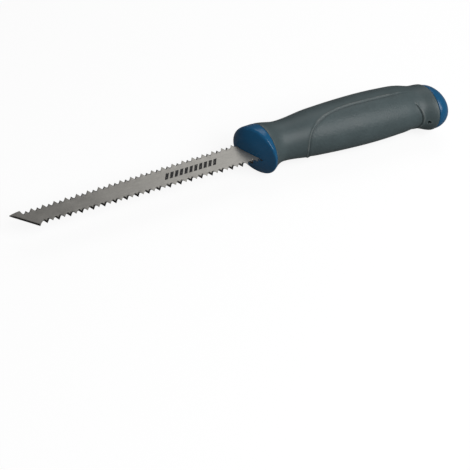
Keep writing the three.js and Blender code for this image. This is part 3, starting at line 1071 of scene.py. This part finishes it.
def steel_material(finish):
    """Satin steel: fine marks along the blade, uneven sheen, ground facets painted dark as shade, and printed
    bars.
    """
    material, nodes = new_material("blade_steel")
    mark_tint, facet_shade_tint = (0.20, 0.19, 0.175, 1), (0.045, 0.043, 0.040, 1)
    tint = nodes.group(mottle, {"Colour": opaque(finish.steel), "Amount": 0.16, "Size": 90.0})
    inputs = {"Dust": opaque(finish.dust), "Relief": 0.0, "Rub": 0.0, "Scuffs": 0.25}
    worn = nodes.group(wear_and_groove_shade, {"Colour": tint["Colour"], **inputs})
    marks = nodes.noise(5200.0, 3, 0.6, (0.03, 1.0, 1.0))
    cross = nodes.noise(2600.0, 2, 0.5, (1.0, 0.06, 1.0))
    ink = printed_bars(nodes)
    lined = nodes.mix(nodes.range(marks, 0.3, 0.7, 0.0, 0.28), worn["Colour"], mark_tint)
    # Painted shade: the ground facets take a near-black tint, whatever light falls on them.
    facet = nodes.times(nodes.attribute(GROUND), 2.6, clamp=True)
    printed = nodes.mix(ink, nodes.mix(facet, lined, facet_shade_tint), opaque(finish.ink))
    bare = nodes.plus(
        nodes.range(marks, 0.3, 0.7, 0.30, 0.44),
        nodes.range(tint["Cloud"], 0.3, 0.7, -0.04, 0.06),
    )
    rough = nodes.math("MAXIMUM", bare, nodes.times(ink, 0.5))
    metal = nodes.times(nodes.math("SUBTRACT", 1.0, ink), 0.72)
    lines = nodes.bump(nodes.plus(marks, nodes.times(cross, 0.25)), 0.22, 0.02 * MM)
    nodes.surface({"Base Color": printed, "Roughness": rough, "Metallic": metal, "Normal": lines})
    return material


def floor_material(stage):
    """Plain pale floor; it throws back less light than it shows, as a floor far below the saw would."""
    material, nodes = new_material("pale_floor")
    seen = nodes.add("ShaderNodeLightPath").outputs["Is Camera Ray"]
    shade = nodes.mix(seen, (0.30, 0.30, 0.30, 1), (0.20, 0.20, 0.20, 1))
    glow = nodes.mix(seen, (0, 0, 0, 1), opaque(stage.floor))
    inputs = {"Specular IOR Level": 0.1, "Emission Color": glow, "Emission Strength": 1.0}
    nodes.surface({"Base Color": shade, "Roughness": 0.7, **inputs})
    return material


# ---- Stage ----


def box_centre():
    return (cad_box[0] + cad_box[1]) / 2


def make_floor(stage):
    """Square floor at the saw's lowest point."""
    reach, level = 6.0, cad_box[0].z
    mesh = bpy.data.meshes.new("floor")
    corners = [(-reach, -reach, level), (reach, -reach, level), (reach, reach, level), (-reach, reach, level)]
    mesh.from_pydata(corners, [], [(0, 1, 2, 3)])
    mesh.materials.append(floor_material(stage))
    floor = bpy.data.objects.new("floor", mesh)
    bpy.context.scene.collection.objects.link(floor)


def make_camera(stage):
    """Camera turned by azimuth, elevation and roll, set back from the point looked at."""
    ca, sa = math.cos(stage.azimuth), math.sin(stage.azimuth)
    ce, se = math.cos(stage.elevation), math.sin(stage.elevation)
    level_right = Vector((ca, sa, 0))
    forward = Vector((-sa * ce, ca * ce, -se))
    level_up = level_right.cross(forward)
    right = level_right * math.cos(stage.roll) + level_up * math.sin(stage.roll)
    up = level_up * math.cos(stage.roll) - level_right * math.sin(stage.roll)
    aim = box_centre() + right * stage.aim_right + up * stage.aim_up
    data = bpy.data.cameras.new("camera")
    data.lens = stage.lens
    data.sensor_width = 36
    data.clip_start = 0.01
    camera = bpy.data.objects.new("camera", data)
    turned = Matrix((right, up, -forward)).transposed().to_4x4()
    camera.matrix_world = Matrix.Translation(aim - forward * stage.distance) @ turned
    bpy.context.scene.collection.objects.link(camera)
    bpy.context.scene.camera = camera


def softbox(name, azimuth, elevation, distance, width, height, power):
    """Flat soft light that faces the saw from a direction: azimuth 0 is +X, a quarter turn is +Y."""
    a, e = math.radians(azimuth), math.radians(elevation)
    towards = Vector((math.cos(a) * math.cos(e), math.sin(a) * math.cos(e), math.sin(e)))
    data = bpy.data.lights.new(name, "AREA")
    data.shape = "RECTANGLE"
    data.size, data.size_y, data.energy = width, height, power
    light = bpy.data.objects.new(name, data)
    light.rotation_euler = towards.to_track_quat("Z", "Y").to_euler()
    light.location = box_centre() + towards * distance
    bpy.context.scene.collection.objects.link(light)


def make_light():
    """A large key from the near side, a soft back light that the blade mirrors, and a dim white room."""
    softbox("key", azimuth=-62, elevation=46, distance=1.3, width=0.9, height=0.9, power=11.0)
    softbox("back", azimuth=57, elevation=51, distance=1.5, width=0.9, height=0.8, power=3.0)
    world = bpy.data.worlds.new("studio")
    world.use_nodes = True
    nodes = Nodes(world.node_tree)
    seen = nodes.add("ShaderNodeLightPath").outputs["Is Camera Ray"]
    room = nodes.mix(seen, (0.10, 0.10, 0.102, 1), (1, 1, 1, 1))
    background = nodes.add("ShaderNodeBackground", {"Color": room})
    nodes.add("ShaderNodeOutputWorld", {"Surface": background.outputs[0]})
    bpy.context.scene.world = world
    bpy.context.scene.view_settings.view_transform = "Standard"


# ---- Operators and panel ----


def build(context, make, node, material, sharp):
    """What the four operators for single pieces share."""
    saw = context.scene.drywall_saw
    finish_piece(make(saw), node, material(saw.finish), sharp)
    return {"FINISHED"}


class MakeBlade(bpy.types.Operator):
    """Build the toothed steel blade with its tang"""

    bl_idname = "drywall_saw.make_blade"
    bl_label = "Blade"

    def execute(self, context):
        return build(context, make_blade, "blade", steel_material, 12)


class MakeCore(bpy.types.Operator):
    """Build the blue guard and the core of the handle"""

    bl_idname = "drywall_saw.make_core"
    bl_label = "Guard and Core"

    def execute(self, context):
        return build(context, make_core, "handle_core", plastic_material, 40)


class MakeSleeve(bpy.types.Operator):
    """Build the grey rubber sleeve with its palm panel"""

    bl_idname = "drywall_saw.make_sleeve"
    bl_label = "Grip Sleeve"

    def execute(self, context):
        return build(context, make_sleeve, "grip_sleeve", rubber_material, 50)


class MakeCap(bpy.types.Operator):
    """Build the blue domed cap that closes the butt"""

    bl_idname = "drywall_saw.make_cap"
    bl_label = "Butt Cap"

    def execute(self, context):
        return build(context, make_cap, "butt_cap", plastic_material, 40)


class MakeStage(bpy.types.Operator):
    """Set the floor, the camera and the studio light"""

    bl_idname = "drywall_saw.make_stage"
    bl_label = "Stage"

    def execute(self, context):
        stage = context.scene.drywall_saw.stage
        make_floor(stage)
        make_camera(stage)
        make_light()
        return {"FINISHED"}


OPERATORS = (MakeBlade, MakeCore, MakeSleeve, MakeCap, MakeStage)


class SawPanel(bpy.types.Panel):
    """Buttons that build the saw, piece by piece"""

    bl_idname = "VIEW3D_PT_drywall_saw"
    bl_label = "Drywall Saw"
    bl_space_type = "VIEW_3D"
    bl_region_type = "UI"
    bl_category = "Drywall Saw"

    def draw(self, context):
        for operator in OPERATORS:
            self.layout.operator(operator.bl_idname)


CLASSES = (BladeSettings, HandleSettings, FinishSettings, StageSettings, SawSettings, *OPERATORS, SawPanel)


def register():
    for item in CLASSES:
        bpy.utils.register_class(item)
    bpy.types.Scene.drywall_saw = bpy.props.PointerProperty(type=SawSettings)


def unregister():
    del bpy.types.Scene.drywall_saw
    for item in reversed(CLASSES):
        bpy.utils.unregister_class(item)


def main():
    """Builds every piece and the stage."""
    register()
    bpy.ops.drywall_saw.make_blade()
    bpy.ops.drywall_saw.make_core()
    bpy.ops.drywall_saw.make_sleeve()
    bpy.ops.drywall_saw.make_cap()
    bpy.ops.drywall_saw.make_stage()


if __name__ == "__main__":
    main()
